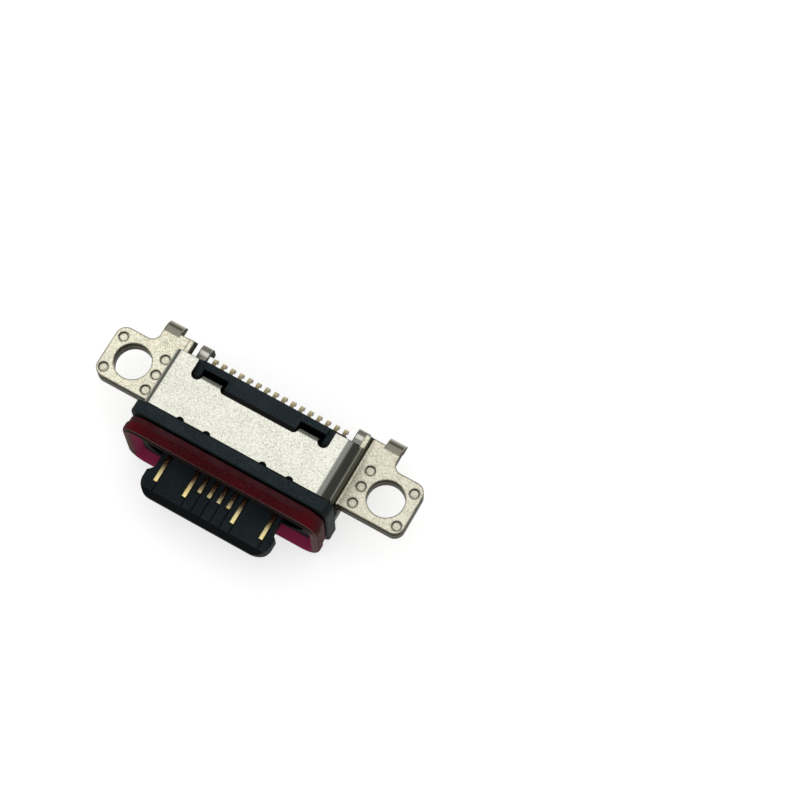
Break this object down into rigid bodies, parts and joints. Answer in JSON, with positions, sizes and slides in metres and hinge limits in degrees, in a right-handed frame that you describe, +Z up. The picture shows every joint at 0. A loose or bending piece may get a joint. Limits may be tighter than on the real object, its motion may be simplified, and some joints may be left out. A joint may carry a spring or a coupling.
{
  "type": "usb-c socket",
  "caption": "Waterproof USB-C board socket: open tongue in a rubber-rimmed mouth, moulded body in a sheet cover and shell, flat screw ears at both ends, bent solder tabs and a rear row of tails",
  "frame": {"origin": "centre of the mouth, on the plane of the gasket's front lip, at the tongue's middle plane", "axes": "X along the socket from the left ear to the right ear, Y from the mouth to the rear, Z up through the cover; the plug comes in from -Y"},
  "size_m": [0.0162, 0.0079, 0.0043],
  "materials": {
    "cover_metal": "matte nickel plate",
    "ear_metal": "matte nickel plate, slightly warm",
    "shell_metal": "matte nickel plate",
    "body_plastic": "matte glass-filled moulding",
    "tongue_plastic": "matte moulding",
    "gasket_rubber": "satin silicone",
    "plate_metal": "matte nickel plate",
    "contact_metal": "gold plate"
  },
  "bodies": {
    "root": {"top_cover": "cover_metal", "upper_ear_plate_left": "ear_metal", "upper_ear_plate_right": "ear_metal", "lower_shell": "shell_metal", "housing": "body_plastic", "gasket": "gasket_rubber", "upper_insulator": "tongue_plastic", "lower_insulator": "tongue_plastic", "latch_plate": "plate_metal", "upper_contact_1": "contact_metal", "upper_contact_2": "contact_metal", "upper_contact_3": "contact_metal", "upper_contact_4": "contact_metal", "upper_contact_5": "contact_metal", "upper_contact_6": "contact_metal", "upper_contact_7": "contact_metal", "upper_contact_8": "contact_metal", "lower_contact_1": "contact_metal", "lower_contact_2": "contact_metal", "lower_contact_3": "contact_metal", "lower_contact_4": "contact_metal", "lower_contact_5": "contact_metal", "lower_contact_6": "contact_metal", "lower_contact_7": "contact_metal", "lower_contact_8": "contact_metal"}
  },
  "joints": []
}
